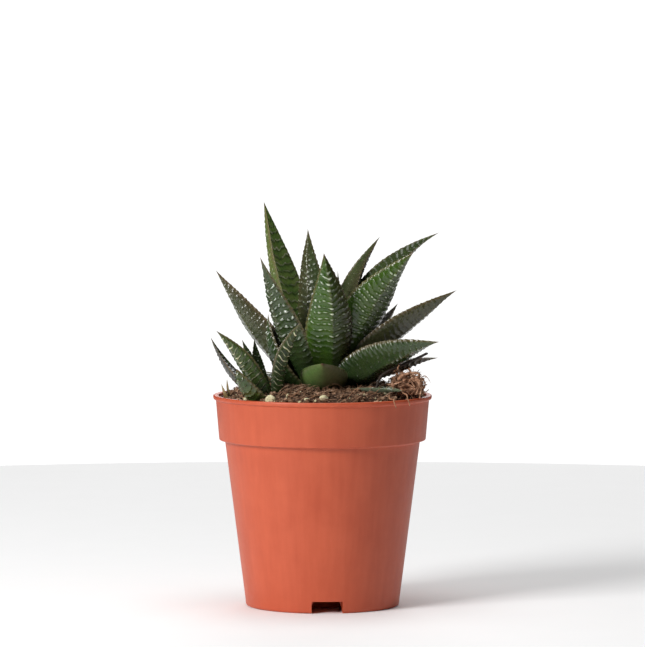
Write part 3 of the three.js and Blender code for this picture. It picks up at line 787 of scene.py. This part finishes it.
def scattered(name, pattern, places):
    """Many copies of one small pattern piece in one mesh, each with its own place."""
    shape = points_of(pattern)
    faces = [tuple(p.vertices) for p in pattern.data.polygons]
    points, polygons = [], []
    for place in places:
        matrix = np.array(place)
        base = len(points) * len(shape)
        points.append(shape @ matrix[:3, :3].T + matrix[:3, 3])
        polygons += [tuple(base + v for v in face) for face in faces]
    mesh = bpy.data.meshes.new(name)
    mesh.from_pydata(np.concatenate(points).tolist(), [], polygons)
    mesh.update()
    piece = bpy.data.objects.new(name, mesh)
    bpy.context.scene.collection.objects.link(piece)
    bpy.data.objects.remove(pattern, do_unlink=True)
    return piece


def lump_pattern(name, detail, ragged, seed):
    """An uneven lump about one unit across."""
    rest_hands()
    bpy.ops.mesh.primitive_ico_sphere_add(subdivisions=detail, radius=0.5)
    piece = started(name)
    shape = points_of(piece)
    for i, point in enumerate(shape):
        spot = Vector(point) * 3.1 + Vector((seed, 2 * seed, 0))
        shape[i] = point * (1 + ragged * noise.noise(spot))
    set_points(piece, shape)
    return piece


def stepped_rod(name, sides, steps):
    """A rod of radius one and length one, with rings along it so that it can bend."""
    rest_hands()
    bpy.context.tool_settings.mesh_select_mode = (False, True, False)
    bpy.ops.mesh.primitive_cylinder_add(vertices=sides, radius=1, depth=1, end_fill_type="TRIFAN")
    piece = started(name)
    bpy.ops.object.mode_set(mode="EDIT")
    bpy.ops.mesh.select_all(action="DESELECT")
    bpy.ops.object.mode_set(mode="OBJECT")
    for edge in piece.data.edges:
        a, b = (piece.data.vertices[v].co for v in edge.vertices)
        edge.select = abs(a.z - b.z) > 0.5
    bpy.ops.object.mode_set(mode="EDIT")
    bpy.ops.mesh.subdivide(number_cuts=steps)
    bpy.ops.object.mode_set(mode="OBJECT")
    return piece


def fibre_pattern(name, bend, seed, steps=7):
    """A curved thread one unit long and about 0.06 thick, thinner at its ends."""
    piece = stepped_rod(name, 5, steps)
    shape = points_of(piece)
    along = shape[:, 2] + 0.5
    thin = 0.03 * (0.35 + 0.65 * np.sin(math.pi * np.clip(along, 0.04, 0.96)))
    shape[:, 0] = shape[:, 0] * thin + bend * (np.sin(3.0 * along + seed) - math.sin(seed))
    shape[:, 1] = shape[:, 1] * thin + 0.6 * bend * (np.cos(4.1 * along + seed) - math.cos(seed))
    shape[:, 2] = along
    set_points(piece, shape)
    return piece


def laid(place, size, tilt, spin):
    """Where a small copy goes: size along each of its axes, leaned over, turned, and moved."""
    scale = Matrix.Diagonal((*size, 1))
    lean = Matrix.Rotation(tilt, 4, "Y")
    turn = Matrix.Rotation(spin, 4, "Z")
    return Matrix.Translation(place) @ turn @ lean @ Matrix.Rotation(spin * 1.7, 4, "Z") @ scale


def on_mound(low):
    """A chance place on the peat, from a radius out to just inside the lip, and more often
    near the wall, where the mound shows."""
    radius = low + (38.6 - low) * random.random() ** 0.6
    bearing = random.random() * 2 * math.pi
    x, y = radius * math.cos(bearing), radius * math.sin(bearing)
    return x, y, float(peat_height(np.array(x), np.array(y)))


def crumbs(name, number, smallest, largest, material, slot, flat, seed, low=0.0):
    """Loose lumps strewn over the mound: flat is their height as a share of their length."""
    random.seed(seed)
    places = []
    for _ in range(number):
        x, y, z = on_mound(low)
        size = smallest + (largest - smallest) * random.random() ** 2.5
        shape = (size * MM, size * MM * random.uniform(0.6, 1.0), size * MM * flat)
        spot = (x * MM, y * MM, (z + size * flat * 0.2) * MM)
        places.append(laid(spot, shape, random.uniform(-0.6, 0.6), random.uniform(0, 6.28)))
    piece = scattered(name, lump_pattern("pattern_" + name, 2, 0.9, seed), places)
    settle(piece, material, slot)


def threads(name, number, shortest, longest, material, slot, seed, low=6.0, lift=0.4, thick=1.0,
            steep=0.35, bend=0.16):
    """Loose fibres strewn over the mound: lift is how high above it they start, and steep how
    far they stand up."""
    random.seed(seed)
    places = []
    for _ in range(number):
        x, y, z = on_mound(low)
        size = random.uniform(shortest, longest)
        spot = (x * MM, y * MM, (z + random.uniform(0, lift)) * MM)
        lean = math.pi / 2 - random.uniform(-0.1, steep)
        inward = math.atan2(-y, -x) + random.uniform(-1.9, 1.9)
        wide = size * thick * MM
        places.append(laid(spot, (wide, wide, size * MM), lean, inward))
    piece = scattered(name, fibre_pattern("pattern_" + name, bend, seed), places)
    piece.data.shade_smooth()
    settle(piece, material, slot)


crumbs("peat_crumbs", 1000, 0.6, 3.3, CRUMB, "peat", 0.75, 3)
crumbs("bark_chips", 420, 0.7, 3.2, BARK, "roots", 0.4, 5)
crumbs("perlite_dust", 150, 0.5, 1.5, PERLITE, "perlite", 0.8, 7, low=18)
threads("peat_fibres", 420, 2.5, 7.5, BARK, "roots", 9, thick=0.8)
threads("dark_fibres", 260, 2.0, 6.0, CRUMB, "peat", 12, thick=1.2)
threads("fine_rootlets", 60, 4.0, 9.0, PALE_ROOT, "roots", 15, low=24, lift=0.8, thick=0.55,
        steep=0.7, bend=0.22)

# ---------------------------------------------------------------- perlite


def perlite(name, x, y, size, seed):
    """A grain of puffed volcanic glass: rounded, with facets where it has been rubbed and
    pits where its bubbles have opened."""
    rest_hands()
    bpy.ops.mesh.primitive_ico_sphere_add(subdivisions=5, radius=1)
    piece = started(name)
    shape = points_of(piece)
    rng = np.random.default_rng(seed)
    cuts = rng.normal(size=(14, 3))
    cuts /= np.linalg.norm(cuts, axis=1)[:, None]
    reach = rng.uniform(0.8, 0.95, 14)
    for cut, limit in zip(cuts, reach):
        past = np.maximum(shape @ cut - limit, 0)
        shape -= cut * (past * 0.8)[:, None]
    for i, point in enumerate(shape):
        spot = Vector(point)
        pits = max(noise.noise(spot * 3.3 + Vector((seed, 0, 0))) - 0.15, 0)
        shape[i] = point * (1 + 0.05 * noise.noise(spot * 6) - 0.28 * pits)
    half = np.array(size) / 2
    z = float(peat_height(np.array(x), np.array(y))) + 0.2 * half[2]
    set_points(piece, (shape * half + (x, y, z)) * MM)
    bpy.ops.object.shade_smooth()
    settle(piece, PERLITE, "perlite", name)


for count, (x, y, size) in enumerate(GRAINS, 1):
    perlite("perlite_%d" % count, x, y, size, count)

# ---------------------------------------------------------------- dry roots and withered leaf


def strand(name, places, thick, wide, sides, steps, kink, seed):
    """A strand drawn along a smooth line through its places, with small kinks, and cupped
    where it is a strap."""
    piece = stepped_rod(name, sides, steps)
    shape = points_of(piece)
    along = np.clip(shape[:, 2] + 0.5, 0, 1)
    stops = np.array(places, float) + (0, 0, POT_TOP)
    knots = np.linspace(0, 1, len(stops))
    slopes = np.gradient(stops, knots, axis=0)
    part = np.clip(np.searchsorted(knots, along, side="right") - 1, 0, len(stops) - 2)
    step = knots[1] - knots[0]
    t = ((along - knots[part]) / step)[:, None]
    line = ((2 * t ** 3 - 3 * t ** 2 + 1) * stops[part] + (t ** 3 - 2 * t ** 2 + t) * step
            * slopes[part] + (3 * t ** 2 - 2 * t ** 3) * stops[part + 1]
            + (t ** 3 - t ** 2) * step * slopes[part + 1])
    heading = stops[-1] - stops[0]
    heading /= np.linalg.norm(heading)
    beside = np.cross((0, 0, 1), heading)
    beside /= np.linalg.norm(beside)
    above = np.cross(heading, beside)
    taper = 0.35 + 0.65 * np.sin(math.pi * (0.15 + 0.7 * along))
    curl = kink * np.sin(9 * along + seed)
    line += beside * (kink * np.sin(13 * along + seed))[:, None] + above * curl[:, None]
    cup = 0.25 * wide * shape[:, 0] ** 2 if wide > 2 * thick else 0
    line += beside * (shape[:, 0] * taper * wide / 2)[:, None]
    line += above * (shape[:, 1] * taper * thick / 2 + cup)[:, None]
    set_points(piece, line * MM)
    bpy.ops.object.shade_smooth()
    return piece


def root_clump():
    """A knot of dead roots: a ragged core with threads standing out of it."""
    rest_hands()
    bpy.ops.mesh.primitive_ico_sphere_add(subdivisions=6, radius=1)
    core = started("root_clump")
    shape = points_of(core)
    for i, point in enumerate(shape):
        spot = Vector(point)
        bulges = noise.fractal(spot * 2.2 + Vector((3, 1, 4)), 0.9, 2.2, 6)
        furrow = abs(noise.noise(Vector((spot.x * 3, spot.y * 3, spot.z * 9 + spot.x * 6))))
        shape[i] = point * (0.78 + 0.42 * bulges - 0.3 * furrow)
    half = np.array(CLUMP_SIZE) / 2
    set_points(core, (shape * half + CLUMP_AT + np.array((0, 0, POT_TOP))) * MM)
    bpy.ops.object.shade_smooth()
    settle(core, ROOT, "roots", "root_clump")
    random.seed(21)
    for name, number, material, thick in (("clump_roots", 70, ROOT, 5.5),
                                          ("clump_threads", 90, ROOT, 1.3),
                                          ("clump_hairs", 110, BARK, 0.5)):
        places = []
        for _ in range(number):
            way = Vector((random.gauss(0, 1), random.gauss(0, 1), random.gauss(0.25, 0.9)))
            way.normalize()
            stout = thick > 3
            deep = 0.45 if stout else 0.68
            spot = Vector([way[k] * half[k] * deep + CLUMP_AT[k] for k in range(3)])
            spot.z = max(spot.z, 0.6) + POT_TOP
            size = random.uniform(2.2, 4.2) if stout else random.uniform(2.0, 4.6)
            heading = (way + Vector([random.gauss(0, 0.75) for _ in range(3)])).normalized()
            if spot.x + heading.x * size > CLUMP_LIMIT:
                heading.x = -abs(heading.x)
            turn = heading.to_track_quat("Z", "Y").to_matrix().to_4x4()
            wide = size * thick * MM
            scale = Matrix.Diagonal((wide, wide, size * MM, 1))
            twist = Matrix.Rotation(random.uniform(0, 6.28), 4, "Z")
            places.append(Matrix.Translation(spot * MM) @ turn @ twist @ scale)
        piece = scattered(name, fibre_pattern("pattern_" + name, 0.2, number, 6), places)
        piece.data.shade_smooth()
        settle(piece, material, "roots")


root_clump()
for count, (places, thick) in enumerate(ROOTLETS, 1):
    rootlet = strand("rootlet_%d" % count, places, 0.7 * thick, 0.7 * thick, 10, 46, 0.3, count)
    settle(rootlet, PALE_ROOT, "roots", "rootlet_%d" % count)
withered = strand("withered_leaf", WITHERED, 0.7, 2.4, 20, 60, 0.25, 4)
settle(withered, HUSK, "withered", "withered_leaf")

# ---------------------------------------------------------------- floor, light and camera

rest_hands()
bpy.ops.mesh.primitive_circle_add(vertices=96, radius=0.6, fill_type="NGON")
ground = started("floor")
# a sheet of matt white paper: faintly mottled, with no sheen
paper, tree, shader, place = new_finish("matt_white_paper")
mottle = add(tree, "ShaderNodeTexNoise", Vector=place, Scale=40.0, Detail=2.0)
tone = add(tree, "ShaderNodeMapRange", Value=mottle.outputs["Fac"], To_Min=0.95, To_Max=0.97)
tree.links.new(tone.outputs[0], shader.inputs["Base Color"])
shader.inputs["Roughness"].default_value = 0.9
shader.inputs["Specular IOR Level"].default_value = 0.1
ground.data.materials.append(paper)

world = bpy.data.worlds.new("white_studio")
bpy.context.scene.world = world
world.use_nodes = True
sky = world.node_tree
sky.nodes.clear()
seen = add(sky, "ShaderNodeLightPath").outputs["Is Camera Ray"]
# the backdrop is bright to the camera, and hardly lights the piece
power = add(sky, "ShaderNodeMapRange", Value=seen, To_Min=0.025, To_Max=1.1)
glow = add(sky, "ShaderNodeBackground", Color=(1, 1, 1, 1), Strength=power.outputs[0])
add(sky, "ShaderNodeOutputWorld", Surface=glow.outputs[0])


def softbox(name, place, aim, size, watts):
    """A square light that faces its aim."""
    light = bpy.data.lights.new(name, "AREA")
    light.shape, light.size, light.energy = "SQUARE", size, watts
    lamp = bpy.data.objects.new(name, light)
    bpy.context.scene.collection.objects.link(lamp)
    lamp.location = place
    lamp.rotation_euler = (Vector(aim) - Vector(place)).to_track_quat("-Z", "Y").to_euler()


softbox("key_softbox", (-0.85, -0.8, 0.62), (0, 0, 0.09), 0.5, 15.5)
softbox("back_softbox", (0.15, 1.5, 0.75), (0, 0, 0.1), 0.9, 7)
softbox("top_softbox", (0, 0, 3.0), (0, 0, 0), 2.6, 53)

camera_data = bpy.data.cameras.new("camera")
camera_data.lens = 258.7
camera_data.sensor_width = 36
camera = bpy.data.objects.new("camera", camera_data)
bpy.context.scene.collection.objects.link(camera)
camera.location = (0, -1.8, 0.2236)
camera.rotation_euler = (Vector((0, 0, 0.1096)) - camera.location).to_track_quat(
    "-Z", "Y").to_euler()
bpy.context.scene.camera = camera
bpy.context.scene.view_settings.view_transform = "Standard"
